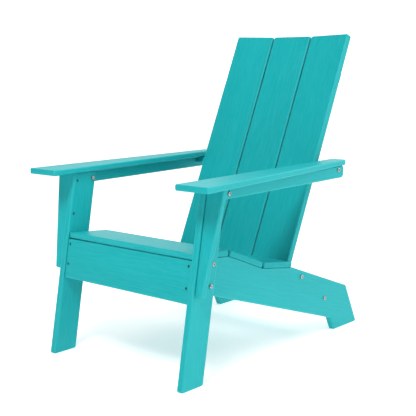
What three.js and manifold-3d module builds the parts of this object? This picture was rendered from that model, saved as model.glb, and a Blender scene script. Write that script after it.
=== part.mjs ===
// Adirondack chair in solid plastic lumber, bolted together from flat boards.
// Millimetres. The sitter faces -Y, the sitter's left is +X, and Z is up.
// The chair is drawn with Y measured from the toes of the front legs, and the
// finished group is moved so that its origin is the middle of its footprint.
import * as THREE from 'three';
import { mergeVertices } from 'three/addons/utils/BufferGeometryUtils.js';
import Module from 'manifold-3d';

const wasm = await Module();
wasm.setup();

// ---------------------------------------------------------------- dimensions

// Lumber
const frameBoard = 22; // thickness of legs, stringers, rails, apron, braces and back slats
const slatBoard = 18; // thickness of seat slats, armrests and arm brackets
const stripWidth = 38; // width of the arm rails and of the upper back brace
const braceWidth = 72; // width of the lower back brace and of the rear stretcher
const edgeRadius = 3.5; // rounding along every board edge
const cornerRadius = 5; // rounding of a board's corners, seen flat
const fitGap = 0.3; // clearance where two pieces touch

// Seat: slats from front to back, each with its width and its fall towards the back
const seatLength = 526; // slat length, which is also the width over the stringers
const seatFrontZ = 377; // height of the top front edge of the front slat
const seatSetback = 5; // that edge lies this far behind the front edges of the legs
const seatSlatGap = 6; // gap between two slats at mid thickness
const seatSlats = [
  { name: 'seat_slat_front', width: 152, fall: 5.5 },
  { name: 'seat_slat_middle', width: 164, fall: 22.5 },
  { name: 'seat_slat_rear', width: 142, fall: 9.3 },
];

// Stringers: the long side boards whose rear ends are the back feet
const stringerEndDepth = 90.7; // depth of the front end, measured along the apron
const tailSetback = 5.3; // the upper edge turns down this far behind the rear slat
const tailTopHeight = 139.5; // height of the upper rear corner
const footReach = 232; // from the rear slat's rear edge to the front of the foot
const footLength = 135;
const footLean = 24.8; // degrees from upright, both edges of the foot
const footNotchHeight = 45; // height of the inner corner in front of the foot

// Front legs
const legWidth = 86;
const legRake = 11.25; // degrees from upright, leaning back
const armUnderside = 559; // height of the armrests' lower face

// Apron across the front
const apronWidth = 122;
const apronSetback = 4; // behind the front edges of the legs
const apronSlatGap = 1.5; // gap under the front seat slat

// Arm brackets on the outer faces of the legs
const bracketSetback = 5; // behind the front edge of the leg
const bracketHeight = 300; // from its lower end to the armrest
const bracketTopWidth = 63;
const bracketBottomWidth = 26;

// Armrests, level and tapered towards the back
const armFrontOverhang = 90.2; // in front of the leg's top front corner
const armBehindBack = 71.9; // behind the back's front face
const armInnerOverhang = 10.6; // inwards of the leg's inner face
const armFrontWidth = 121.3;
const armRearWidth = 54;
const armInnerRearRadius = 14;

// Arm rails under the armrests
const railEndSetback = 13.5; // rail ends this far short of the armrest's end
const railEndRadius = 14; // lower rear corner

// Back: heights and drops run along the slats, from the level of the seat's rear edge
const recline = 25; // degrees from upright
const seatBackGap = 24.9; // level gap between the rear seat slat and the centre back slat
const backAbove = 774; // length of the slats above the seat
const backBelow = 66; // length of the slats below it
const backSideGap = 4; // gap between the back and the stringers
const backSlatGap = 5;
const outerSlatTurn = 4; // degrees, outer slats face slightly inwards
const upperBraceHeight = 637; // to the middle of the brace
const upperBraceInset = 21; // each end is this far inside the edge of the back
const lowerBraceDrop = 42; // to the middle of the brace

// Rear stretcher between the tails of the stringers
const stretcherSetback = 112; // along the tail, from its upper rear corner to the middle
const stretcherDepth = 64; // below the tail's upper edge

// Machine bolts with round heads, their cap nuts and cross dowels
const boltRadius = 3.2;
const boltHeadRadius = 6.25;
const boltHeadHeight = 4;
const boltSocketRadius = 2.6;
const boltSocketDepth = 2.4;
const boltCrownRadius = 3.9; // flat top of the domed head
const boltShoulder = { radius: 5.6, rise: 2.6 }; // where the dome turns down
const boltRim = 0.6; // upright rim under the dome
const boltGrip = 36; // length of shank in the end of a brace
const nutRadius = 6.25;
const nutHeight = 7.5;
const nutCrown = { radius: 4.5, rise: 4.1 }; // flat top of the cap, and where it starts to close in
const nutCover = 2; // metal beyond the thread in a cap nut
const nutSlack = 1.2; // the bolt ends this far short of the bottom of the thread
const dowelRadius = 5;
const dowelLength = 16;
const dowelSetback = 24; // from the end of the brace to the dowel's axis
const holeGap = 0.4; // clearance all round a fastener in its hole

// Wood screws with countersunk heads
const screwRadius = 2.2;
const screwHeadRadius = 4.2;
const screwHeadHeight = 3;
const screwPoint = 6; // length of the tapered point
const screwLength = 45;
const braceScrewLength = 40;
const screwRecess = 0.6; // heads lie this far below the surface

// Places of the fasteners
const legBoltSetback = 18.5; // from the rear edge of the leg, measured level
const legBoltInset = { top: 16, bottom: 12 }; // from the corners of the stringer's front end
const railBoltDrop = 22; // below the armrest
const railBoltInset = 12.5; // front rail bolt, from the leg's rear edge
const railBoltSetback = 31; // from the rear end of the rail
const apronScrewInset = { top: 15, bottom: 13 }; // from the corners of the stringer's front end
const bracketScrewDrops = [24, 126]; // below the armrest
const braceScrewInset = 32; // from the edges of a back slat
const outerScrewInset = 48; // from the outer edges of the back, where the brace ends sooner

// Resolution
const cornerSteps = 2; // controls how many facets round a board's corner
const roundSides = 12; // sides of a bolt, nut or hole
const screwSides = 10;

const { degToRad } = THREE.MathUtils;
const LEFT = { name: 'left', sign: 1 };
const RIGHT = { name: 'right', sign: -1 };
const SIDES = [LEFT, RIGHT];

const TEAL = { color: 0x12b5b8, roughness: 0.62, metalness: 0 };
const STEEL = { color: 0xc4c8ca, roughness: 0.32, metalness: 1 };
const SCREW_COAT = { color: 0x2f5f62, roughness: 0.5, metalness: 0.4 };

// ------------------------------------------------------------ shape helpers

// A closed outline. Each corner is [u, v] or [u, v, radius]; radius 0 is a sharp corner.
function outline(corners, radius = cornerRadius) {
  const shape = new THREE.Shape();
  const points = corners.map(([u, v]) => new THREE.Vector2(u, v));
  corners.forEach((corner, index) => {
    const here = points[index];
    const before = points.at(index - 1).clone().sub(here).normalize();
    const after = points[(index + 1) % points.length].clone().sub(here).normalize();
    const r = corner[2] ?? radius;
    if (r === 0) {
      if (index === 0) shape.moveTo(here.x, here.y);
      else shape.lineTo(here.x, here.y);
      return;
    }
    const half = before.angleTo(after) / 2;
    const middle = before.clone().add(after).setLength(r / Math.sin(half)).add(here);
    const start = before.clone().multiplyScalar(r / Math.tan(half)).add(here).sub(middle);
    const end = after.clone().multiplyScalar(r / Math.tan(half)).add(here).sub(middle);
    const clockwise = before.cross(after) > 0;
    shape.absarc(middle.x, middle.y, r, start.angle(), end.angle(), clockwise);
  });
  shape.closePath();
  return shape;
}

// A board: an outline given a thickness, with its long edges rounded.
function board(shape, thickness, edge = edgeRadius) {
  const geometry = new THREE.ExtrudeGeometry(shape, {
    depth: thickness - 2 * edge,
    bevelEnabled: true,
    bevelThickness: edge,
    bevelSize: edge,
    bevelOffset: -edge,
    bevelSegments: 2,
    curveSegments: cornerSteps,
  });
  geometry.translate(0, 0, edge);
  return geometry;
}

// A plain prism with sharp edges, used for cutting.
function prism(shape, thickness) {
  return new THREE.ExtrudeGeometry(shape, { depth: thickness, bevelEnabled: false });
}

// Lays geometry drawn on u, v and w into the chair.
function lay(geometry, u, v, origin) {
  const w = u.clone().cross(v);
  const matrix = new THREE.Matrix4().makeBasis(u, v, w).setPosition(origin);
  return geometry.applyMatrix4(matrix);
}

const X = new THREE.Vector3(1, 0, 0);
const Y = new THREE.Vector3(0, 1, 0);
const Z = new THREE.Vector3(0, 0, 1);
const at = (x, y, z) => new THREE.Vector3(x, y, z);

// Turns a geometry into a solid that can be cut.
function solid(geometry) {
  const bare = geometry.clone();
  bare.deleteAttribute('normal');
  bare.deleteAttribute('uv');
  const merged = mergeVertices(bare, 1e-4);
  const corners = merged.index.array;
  const kept = [];
  for (let i = 0; i < corners.length; i += 3) {
    const [a, b, c] = [corners[i], corners[i + 1], corners[i + 2]];
    if (a !== b && b !== c && c !== a) kept.push(a, b, c);
  }
  return new wasm.Manifold(new wasm.Mesh({
    numProp: 3,
    vertProperties: Float32Array.from(merged.attributes.position.array),
    triVerts: Uint32Array.from(kept),
  }));
}

const group = new THREE.Group();

function add(name, shape, finish) {
  const mesh = shape.getMesh();
  const geometry = new THREE.BufferGeometry();
  geometry.setAttribute('position', new THREE.BufferAttribute(mesh.vertProperties, 3));
  geometry.setIndex(new THREE.BufferAttribute(mesh.triVerts, 1));
  geometry.computeVertexNormals();
  const node = new THREE.Mesh(geometry, new THREE.MeshStandardMaterial(finish));
  node.name = name;
  group.add(node);
}

// Boards are kept here by name until all their holes are cut.
const boards = new Map();

function setBoard(name, corners, thickness, u, v, origin) {
  boards.set(name, solid(lay(board(outline(corners), thickness), u, v, origin)));
}

function cut(name, tool) {
  boards.set(name, boards.get(name).subtract(tool));
}

// -------------------------------------------------------- derived geometry

const rakeSlope = Math.tan(degToRad(legRake));
const rakeUp = at(0, Math.sin(degToRad(legRake)), Math.cos(degToRad(legRake)));
const legDepth = legWidth / Math.cos(degToRad(legRake)); // level depth of a raked leg
const legFrontAt = (z) => z * rakeSlope;

const bracketRearAt = (z) => legFrontAt(z) + bracketSetback + slatBoard / Math.cos(degToRad(legRake));

const stringerOuterX = seatLength / 2;
const stringerInnerX = stringerOuterX - frameBoard;
const legInnerX = stringerOuterX + fitGap;
const legOuterX = legInnerX + frameBoard;
const railInnerX = legOuterX + fitGap;
const railOuterX = railInnerX + frameBoard;
const legTopZ = armUnderside - fitGap;

// Middle line of the seat slats, from front to back
const seatPath = [];
{
  const first = degToRad(seatSlats[0].fall);
  let y = legFrontAt(seatFrontZ) + seatSetback - (slatBoard / 2) * Math.sin(first);
  let z = seatFrontZ - (slatBoard / 2) * Math.cos(first);
  seatSlats.forEach((slat, index) => {
    const fall = degToRad(slat.fall);
    const start = { y, z };
    y += slat.width * Math.cos(fall);
    z -= slat.width * Math.sin(fall);
    seatPath.push({ start, end: { y, z }, fall });
    const next = seatSlats[index + 1];
    if (next) {
      const between = degToRad((slat.fall + next.fall) / 2);
      y += seatSlatGap * Math.cos(between);
      z -= seatSlatGap * Math.sin(between);
    }
  });
}

// Height of the seat's bearing line at a given Y, for one slat
function bearingAt(slat, y) {
  const under = (slatBoard / 2 + fitGap) / Math.cos(slat.fall);
  return slat.start.z - (y - slat.start.y) * Math.tan(slat.fall) - under;
}

// Where the bearing lines of two neighbouring slats cross
function bearingCrossing(a, b) {
  const riseA = bearingAt(a, 0);
  const riseB = bearingAt(b, 0);
  const y = (riseA - riseB) / (Math.tan(a.fall) - Math.tan(b.fall));
  return [y, bearingAt(a, y), 0];
}

// Rear top edge of the seat
const seatRear = seatPath.at(-1);
const seatRearY = seatRear.end.y + (slatBoard / 2) * Math.sin(seatRear.fall);
const seatRearZ = seatRear.end.z + (slatBoard / 2) * Math.cos(seatRear.fall);

// Stringer: its front end lies against the apron, its tail runs down to the back foot
const apronRearAt = (z) => legFrontAt(z) + apronSetback + frameBoard / Math.cos(degToRad(legRake));
const stringerTop = { y: 0, z: 0 };
{
  const [frontSlat] = seatPath;
  const rise = rakeSlope * bearingAt(frontSlat, 0);
  stringerTop.y = (apronRearAt(0) + fitGap + rise) / (1 + rakeSlope * Math.tan(frontSlat.fall));
  stringerTop.z = bearingAt(frontSlat, stringerTop.y);
}
const stringerBottom = {
  y: stringerTop.y - stringerEndDepth * rakeUp.y,
  z: stringerTop.z - stringerEndDepth * rakeUp.z,
};
const footFrontY = seatRearY + footReach;
const leanSlope = Math.tan(degToRad(footLean));
const tailStart = { y: seatRearY + tailSetback, z: bearingAt(seatRear, seatRearY + tailSetback) };
const tailEnd = { y: footFrontY + footLength - tailTopHeight * leanSlope, z: tailTopHeight };
const tailFall = Math.atan2(tailStart.z - tailEnd.z, tailEnd.y - tailStart.y);
const alongTail = at(0, Math.cos(tailFall), -Math.sin(tailFall));
const tailUp = at(0, Math.sin(tailFall), Math.cos(tailFall));

// Back: s runs up the slats, d runs away from the sitter, from the rear face of the centre slat
const reclineAngle = degToRad(recline);
const backUp = at(0, Math.sin(reclineAngle), Math.cos(reclineAngle));
const backAway = at(0, Math.cos(reclineAngle), -Math.sin(reclineAngle));
const backFrontAt = (z) => seatRearY + seatBackGap + (z - seatRearZ) * Math.tan(reclineAngle);
const backRearOrigin = at(0, backFrontAt(seatRearZ), seatRearZ).addScaledVector(backAway, frameBoard);
const onBack = (x, d, s) => backRearOrigin.clone()
  .addScaledVector(X, x)
  .addScaledVector(backAway, d)
  .addScaledVector(backUp, s);
const turn = degToRad(outerSlatTurn);
// The three slats and their gaps fill the space between the stringers.
const backRoom = stringerInnerX - backSideGap - backSlatGap - frameBoard * Math.sin(turn);
const backSlatWidth = backRoom / (0.5 + Math.cos(turn));
const centreSlatEdgeX = backSlatWidth / 2;
const outerSlatHingeX = centreSlatEdgeX + backSlatGap;
const backEdgeX = outerSlatHingeX + backSlatWidth * Math.cos(turn);

// Arms
const armFrontY = legFrontAt(armUnderside) - armFrontOverhang;
const armRearY = backFrontAt(armUnderside) + armBehindBack;
const armInnerX = legInnerX - armInnerOverhang;
const railRearY = armRearY - railEndSetback;

const stretcherMiddle = (x) => at(x, tailEnd.y, tailEnd.z)
  .addScaledVector(alongTail, -stretcherSetback)
  .addScaledVector(tailUp, -stretcherDepth);

// ------------------------------------------------------------------- boards

function makeStringer(side) {
  const [frontSlat, middleSlat, rearSlat] = seatPath;
  const corners = [
    [stringerBottom.y, stringerBottom.z],
    [footFrontY - footNotchHeight * leanSlope, footNotchHeight],
    [footFrontY, 0],
    [footFrontY + footLength, 0],
    [tailEnd.y, tailEnd.z],
    [tailStart.y, tailStart.z, 0],
    bearingCrossing(middleSlat, rearSlat),
    bearingCrossing(frontSlat, middleSlat),
    [stringerTop.y, stringerTop.z],
  ];
  const x = side.sign > 0 ? stringerInnerX : -stringerOuterX;
  setBoard(`${side.name}_stringer`, corners, frameBoard, Y, Z, at(x, 0, 0));
}

function makeLeg(side) {
  const corners = [
    [0, 0],
    [legDepth, 0],
    [legFrontAt(legTopZ) + legDepth, legTopZ],
    [legFrontAt(legTopZ), legTopZ],
  ];
  const x = side.sign > 0 ? legInnerX : -legOuterX;
  setBoard(`${side.name}_front_leg`, corners, frameBoard, Y, Z, at(x, 0, 0));
}

function makeApron() {
  // The front top edge stands highest, because the board leans back.
  const topZ = seatPath[0].start.z - slatBoard / 2 - apronSlatGap;
  const topS = (topZ - frameBoard * rakeUp.y) / rakeUp.z;
  const halfLength = stringerOuterX;
  const corners = [
    [-halfLength, topS - apronWidth],
    [halfLength, topS - apronWidth],
    [halfLength, topS],
    [-halfLength, topS],
  ];
  setBoard('front_apron', corners, frameBoard, X, rakeUp, at(0, apronRearAt(0), 0));
}

function makeSeatSlats() {
  seatSlats.forEach((slat, index) => {
    const { start, fall } = seatPath[index];
    const along = at(0, Math.cos(fall), -Math.sin(fall));
    const up = X.clone().cross(along);
    const corners = [
      [-seatLength / 2, 0],
      [seatLength / 2, 0],
      [seatLength / 2, slat.width],
      [-seatLength / 2, slat.width],
    ];
    const origin = at(0, start.y, start.z).addScaledVector(up, -slatBoard / 2);
    setBoard(slat.name, corners, slatBoard, X, along, origin);
  });
}

function makeBracket(side) {
  // Drawn on the raked plane and cut level under the armrest.
  const innerX = legOuterX + fitGap;
  const overlength = 20;
  const bottomS = (armUnderside - bracketHeight) / rakeUp.z;
  const topS = legTopZ / rakeUp.z;
  const taper = (bracketTopWidth - bracketBottomWidth) / (topS - bottomS);
  const corners = [
    [innerX, bottomS],
    [innerX, topS + overlength],
    [innerX + bracketTopWidth + taper * overlength, topS + overlength],
    [innerX + bracketBottomWidth, bottomS],
  ].map(([u, v]) => [u * side.sign, v]);
  setBoard(`${side.name}_arm_bracket`, corners, slatBoard, X, rakeUp, at(0, bracketRearAt(0), 0));
  const above = new THREE.BoxGeometry(4 * armFrontWidth, 2 * legDepth, 2 * overlength);
  above.translate(innerX * side.sign, legFrontAt(legTopZ), legTopZ + overlength);
  cut(`${side.name}_arm_bracket`, solid(above));
}

function makeRail(side) {
  const bottomZ = legTopZ - stripWidth;
  const corners = [
    [bracketRearAt(bottomZ) + fitGap, bottomZ],
    [railRearY, bottomZ, railEndRadius],
    [railRearY, legTopZ],
    [bracketRearAt(legTopZ) + fitGap, legTopZ],
  ];
  const x = side.sign > 0 ? railInnerX : -railOuterX;
  setBoard(`${side.name}_arm_rail`, corners, frameBoard, Y, Z, at(x, 0, 0));
}

function makeArmrest(side) {
  const corners = [
    [armInnerX, armFrontY],
    [armInnerX + armFrontWidth, armFrontY],
    [armInnerX + armRearWidth, armRearY],
    [armInnerX, armRearY, armInnerRearRadius],
  ].map(([x, y, radius]) => [x * side.sign, y, radius]);
  setBoard(`${side.name}_armrest`, corners, slatBoard, X, Y, at(0, 0, armUnderside));
}

function makeBackSlats() {
  const centre = [
    [-centreSlatEdgeX, -backBelow],
    [centreSlatEdgeX, -backBelow],
    [centreSlatEdgeX, backAbove],
    [-centreSlatEdgeX, backAbove],
  ];
  setBoard('back_slat_centre', centre, frameBoard, X, backUp, backRearOrigin);
  for (const side of SIDES) {
    // Drawn from its inner edge outwards, then turned about that edge's front corner.
    const corners = [
      [0, -backBelow],
      [backSlatWidth, -backBelow],
      [backSlatWidth, backAbove],
      [0, backAbove],
    ].map(([u, v]) => [u * side.sign, v]);
    const outwards = X.clone().applyAxisAngle(backUp, -turn * side.sign);
    const towardsBack = backAway.clone().applyAxisAngle(backUp, -turn * side.sign);
    const frontHinge = onBack(outerSlatHingeX * side.sign, -frameBoard, 0);
    const origin = frontHinge.addScaledVector(towardsBack, frameBoard);
    setBoard(`back_slat_${side.name}`, corners, frameBoard, outwards, backUp, origin);
  }
}

// The space the back slats take up, with clearance, used to shape the braces behind them.
function backEnvelope() {
  const reach = 2 * backEdgeX;
  const rearHingeX = outerSlatHingeX + frameBoard * Math.sin(turn);
  const rearAt = (x) => fitGap - (x - rearHingeX) * Math.tan(turn);
  const forward = -4 * frameBoard;
  const profile = [
    [-reach, rearAt(reach)],
    [-rearHingeX, fitGap],
    [rearHingeX, fitGap],
    [reach, rearAt(reach)],
    [reach, forward],
    [-reach, forward],
  ];
  const length = backAbove + backBelow;
  return solid(lay(prism(outline(profile, 0), length), X, backAway, onBack(0, 0, -backBelow)));
}

function makeBraces() {
  const envelope = backEnvelope();
  const turnDepth = backSlatWidth * Math.sin(turn);

  // Upper brace: a strip standing flat against the slats.
  const upperHalf = backEdgeX - upperBraceInset;
  const upper = [
    [-upperHalf, upperBraceHeight - stripWidth / 2],
    [upperHalf, upperBraceHeight - stripWidth / 2],
    [upperHalf, upperBraceHeight + stripWidth / 2],
    [-upperHalf, upperBraceHeight + stripWidth / 2],
  ];
  const upperThickness = frameBoard + turnDepth + edgeRadius;
  setBoard('upper_back_brace', upper, upperThickness, X, backUp, onBack(0, frameBoard, 0));
  cut('upper_back_brace', envelope);

  // Arm brace: lies flat between the rails, under the armrests, with its front edge on the slats.
  const armHalf = railInnerX - fitGap;
  const arm = [
    [-armHalf, railRearY - braceWidth],
    [armHalf, railRearY - braceWidth],
    [armHalf, railRearY],
    [-armHalf, railRearY],
  ];
  setBoard('arm_back_brace', arm, frameBoard, X, Y, at(0, 0, legTopZ - frameBoard));
  cut('arm_back_brace', envelope);

  // Lower brace: lies square to the slats, between the stringers.
  const lowerHalf = stringerInnerX - fitGap;
  const lower = [
    [-lowerHalf, -turnDepth],
    [lowerHalf, -turnDepth],
    [lowerHalf, braceWidth - turnDepth],
    [-lowerHalf, braceWidth - turnDepth],
  ];
  const lowerOrigin = onBack(0, 0, -lowerBraceDrop - frameBoard / 2);
  setBoard('lower_back_brace', lower, frameBoard, X, backAway, lowerOrigin);
  cut('lower_back_brace', envelope);

  // Rear stretcher: follows the slope of the stringers' tails.
  const stretcher = [
    [-lowerHalf, -braceWidth / 2],
    [lowerHalf, -braceWidth / 2],
    [lowerHalf, braceWidth / 2],
    [-lowerHalf, braceWidth / 2],
  ];
  const stretcherOrigin = stretcherMiddle(0).addScaledVector(tailUp, -frameBoard / 2);
  setBoard('rear_stretcher', stretcher, frameBoard, X, alongTail, stretcherOrigin);
}

for (const side of SIDES) {
  makeStringer(side);
  makeLeg(side);
  makeBracket(side);
  makeRail(side);
  makeArmrest(side);
}
makeApron();
makeSeatSlats();
makeBackSlats();
makeBraces();

// ---------------------------------------------------------------- fasteners

// A turned piece along a direction: profile points are [radius, distance].
function turned(profile, sides, origin, direction) {
  const points = profile.map(([radius, distance]) => new THREE.Vector2(radius, distance));
  const geometry = new THREE.LatheGeometry(points, sides);
  const swing = new THREE.Quaternion().setFromUnitVectors(Y, direction);
  geometry.applyQuaternion(swing);
  geometry.translate(origin.x, origin.y, origin.z);
  return solid(geometry);
}

// A hole whose flats clear a fastener of the given radius.
function hole(radius, sides, origin, direction, from, to) {
  const clear = (radius + holeGap) / Math.cos(Math.PI / sides);
  return turned([[0, from], [clear, from], [clear, to], [0, to]], sides, origin, direction);
}

// A bolt with a round head: the origin is on the surface under its head.
function bolt(name, origin, direction, shank) {
  const seat = -fitGap;
  const top = seat - boltHeadHeight;
  add(name, turned([
    [0, top + boltSocketDepth],
    [boltSocketRadius, top + boltSocketDepth],
    [boltSocketRadius, top],
    [boltCrownRadius, top],
    [boltShoulder.radius, seat - boltShoulder.rise],
    [boltHeadRadius, seat - boltRim],
    [boltHeadRadius, seat],
    [boltRadius, seat],
    [boltRadius, shank],
    [0, shank],
  ], roundSides, origin, direction), STEEL);
}

// A round cap nut: the origin is on the surface under it, and the bolt comes from behind.
function capNut(name, origin, direction) {
  const bore = (boltRadius + holeGap) / Math.cos(Math.PI / roundSides);
  const depth = nutHeight - nutCover;
  add(name, turned([
    [bore, fitGap],
    [nutRadius, fitGap],
    [nutRadius, nutCrown.rise],
    [nutCrown.radius, nutHeight],
    [0, nutHeight],
    [0, depth],
    [bore, depth],
    [bore, fitGap],
  ], roundSides, origin, direction), STEEL);
}

// A cross dowel that the end of a bolt screws into.
function crossDowel(name, origin, direction, boltOrigin, boltDirection) {
  const half = dowelLength / 2;
  const body = turned([[0, -half], [dowelRadius, -half], [dowelRadius, half], [0, half]],
    roundSides, origin, direction);
  add(name, body.subtract(hole(boltRadius, roundSides, boltOrigin, boltDirection, 0, 2 * boltGrip)), STEEL);
}

const screwProfile = (length, grow) => [
  [0, screwRecess],
  [screwHeadRadius + grow, screwRecess],
  [screwRadius + grow, screwRecess + screwHeadHeight],
  [screwRadius + grow, length - screwPoint],
  [0, length + grow],
];

// A countersunk screw and its hole through the named boards.
function screw(name, origin, direction, through, length = screwLength) {
  add(name, turned(screwProfile(length, 0), screwSides, origin, direction), SCREW_COAT);
  const mouth = -edgeRadius;
  const bigger = screwProfile(length, holeGap);
  const tool = turned([[0, mouth], [screwHeadRadius + holeGap, mouth], ...bigger.slice(1)],
    screwSides, origin, direction);
  for (const target of through) cut(target, tool);
}

// A through bolt: head on one board, cap nut on the other.
function throughBolt(name, origin, direction, boardsThrough) {
  const stack = boardsThrough.length * frameBoard + (boardsThrough.length - 1) * fitGap;
  bolt(`${name}_bolt`, origin, direction, stack + nutHeight - nutCover - nutSlack);
  const tool = hole(boltRadius, roundSides, origin, direction, -frameBoard, stack + frameBoard);
  for (const target of boardsThrough) cut(target, tool);
  capNut(`${name}_nut`, origin.clone().addScaledVector(direction, stack), direction);
}

// A bolt through one board into the end of a brace, where it meets a cross dowel.
function endBolt(name, origin, direction, through, brace, dowelAxis) {
  const shank = frameBoard + fitGap + boltGrip;
  bolt(`${name}_bolt`, origin, direction, shank);
  const tool = hole(boltRadius, roundSides, origin, direction, -frameBoard, shank + holeGap);
  cut(through, tool);
  cut(brace, tool);
  const centre = origin.clone().addScaledVector(direction, frameBoard + fitGap + dowelSetback);
  // The dowel's hole is open on the underside of the brace.
  const dowelHole = hole(dowelRadius, roundSides, centre, dowelAxis, -frameBoard, dowelLength / 2);
  cut(brace, dowelHole);
  crossDowel(`${name}_dowel`, centre, dowelAxis, origin, direction);
}

for (const side of SIDES) {
  const inwards = at(-side.sign, 0, 0);
  const outwards = at(side.sign, 0, 0);
  const legRearAt = (z) => legFrontAt(z) + legDepth;

  const legBoltHeights = {
    upper: stringerTop.z - legBoltInset.top,
    lower: stringerBottom.z + legBoltInset.bottom,
  };
  for (const [place, z] of Object.entries(legBoltHeights)) {
    const origin = at(legOuterX * side.sign, legRearAt(z) - legBoltSetback, z);
    throughBolt(`${side.name}_leg_${place}`, origin, inwards,
      [`${side.name}_front_leg`, `${side.name}_stringer`]);
  }

  const railBoltZ = armUnderside - railBoltDrop;
  const railBoltY = legRearAt(railBoltZ) - railBoltInset;
  throughBolt(`${side.name}_rail_front`, at(railOuterX * side.sign, railBoltY, railBoltZ), inwards,
    [`${side.name}_arm_rail`, `${side.name}_front_leg`]);

  // The rear rail bolt enters the middle of the arm brace's end.
  const armBraceZ = legTopZ - frameBoard / 2;
  endBolt(`${side.name}_rail_rear`, at(railOuterX * side.sign, railRearY - railBoltSetback, armBraceZ),
    inwards, `${side.name}_arm_rail`, 'arm_back_brace', Z);

  const lowerBolt = onBack(stringerOuterX * side.sign, frameBoard, -lowerBraceDrop);
  endBolt(`${side.name}_lower_brace`, lowerBolt, inwards,
    `${side.name}_stringer`, 'lower_back_brace', backUp);

  endBolt(`${side.name}_stretcher`, stretcherMiddle(stringerOuterX * side.sign),
    inwards, `${side.name}_stringer`, 'rear_stretcher', tailUp);

  const rakeInto = at(0, Math.cos(degToRad(legRake)), -Math.sin(degToRad(legRake)));
  const stringerMiddleX = (stringerOuterX + stringerInnerX) / 2;
  const apronScrewHeights = {
    upper: stringerTop.z - apronScrewInset.top,
    lower: stringerBottom.z + apronScrewInset.bottom,
  };
  for (const [place, z] of Object.entries(apronScrewHeights)) {
    screw(`${side.name}_apron_screw_${place}`,
      at(stringerMiddleX * side.sign, legFrontAt(z) + apronSetback, z), rakeInto,
      ['front_apron', `${side.name}_stringer`]);
  }

  bracketScrewDrops.forEach((drop, index) => {
    const z = armUnderside - drop;
    const y = bracketRearAt(z) - slatBoard / 2 / Math.cos(degToRad(legRake));
    screw(`${side.name}_bracket_screw_${index === 0 ? 'upper' : 'lower'}`,
      at(legInnerX * side.sign, y, z), outwards,
      [`${side.name}_front_leg`, `${side.name}_arm_bracket`]);
  });
}

// Screws through the upper brace into the back slats, two to a slat.
const forward = backAway.clone().negate();
const slatScrews = {
  centre_right: ['back_slat_centre', braceScrewInset - centreSlatEdgeX],
  centre_left: ['back_slat_centre', centreSlatEdgeX - braceScrewInset],
};
for (const side of SIDES) {
  const slat = `back_slat_${side.name}`;
  slatScrews[`${side.name}_inner`] = [slat, side.sign * (outerSlatHingeX + braceScrewInset)];
  slatScrews[`${side.name}_outer`] = [slat, side.sign * (backEdgeX - outerScrewInset)];
}
for (const [place, [slat, x]] of Object.entries(slatScrews)) {
  screw(`upper_brace_screw_${place}`, onBack(x, frameBoard, upperBraceHeight), forward,
    ['upper_back_brace', slat], braceScrewLength);
}

for (const [name, shape] of boards) add(name, shape, TEAL);

// The origin is the middle of the footprint, on the ground.
const extent = new THREE.Box3().setFromObject(group, true);
const middle = extent.getCenter(new THREE.Vector3());
group.position.set(-middle.x, -middle.y, -extent.min.z);
group.updateMatrixWorld(true);

export default group;
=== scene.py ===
# %% [markdown]
# # An adirondack chair in plastic lumber
#
# The chair is a low garden seat made of flat boards. Nothing on it moves: boards are sawn, their
# edges are eased with a router, holes are drilled, and bolts and screws pull the joints together.
# This lesson follows the same order: saw, round, ease, drill, fasten, then give each material its
# finish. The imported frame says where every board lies, so no board is placed by eye.

# %% Load the frame
import math
import random

import bmesh
import bpy
from mathutils import Matrix, Vector


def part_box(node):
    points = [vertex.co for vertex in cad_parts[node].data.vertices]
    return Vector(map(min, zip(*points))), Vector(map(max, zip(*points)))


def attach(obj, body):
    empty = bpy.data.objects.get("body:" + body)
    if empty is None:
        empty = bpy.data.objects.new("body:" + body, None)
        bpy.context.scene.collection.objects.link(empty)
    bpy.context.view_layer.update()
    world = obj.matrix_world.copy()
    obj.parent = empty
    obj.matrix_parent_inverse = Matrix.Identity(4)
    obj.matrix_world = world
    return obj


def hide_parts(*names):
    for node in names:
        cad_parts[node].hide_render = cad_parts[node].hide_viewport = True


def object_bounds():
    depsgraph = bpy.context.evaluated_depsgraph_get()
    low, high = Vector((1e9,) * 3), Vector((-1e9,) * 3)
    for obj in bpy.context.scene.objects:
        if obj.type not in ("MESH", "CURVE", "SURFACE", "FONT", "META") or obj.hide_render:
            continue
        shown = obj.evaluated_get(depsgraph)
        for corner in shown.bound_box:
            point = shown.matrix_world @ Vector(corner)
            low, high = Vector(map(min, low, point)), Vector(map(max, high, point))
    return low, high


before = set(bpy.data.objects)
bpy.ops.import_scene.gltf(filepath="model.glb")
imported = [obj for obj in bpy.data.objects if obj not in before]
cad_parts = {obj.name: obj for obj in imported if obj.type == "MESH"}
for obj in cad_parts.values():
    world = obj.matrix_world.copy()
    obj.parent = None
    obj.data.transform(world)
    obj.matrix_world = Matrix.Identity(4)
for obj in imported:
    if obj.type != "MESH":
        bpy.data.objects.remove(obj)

frame_low, frame_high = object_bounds()
frame_size = [round(side, 3) for side in frame_high - frame_low]
print("the frame holds", len(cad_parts), "nodes and measures", frame_size, "m")

# %% [markdown]
# ## Where the learner stands
#
# The camera is made first, because it decides which faces matter most. It stands to the chair's
# front left, a little above the arms, three metres away, with a fairly long lens so that the
# boards keep nearly parallel edges. A small roll keeps the uprights as they should be.

# %% The camera
camera_place = Vector((1.9704, -2.2090, 0.9190))
camera_azimuth = math.radians(41.955)
camera_fall = math.radians(9.387)
camera_roll = math.radians(-0.889)
sensor_mm = 36
lens_mm = 80.5

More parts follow.
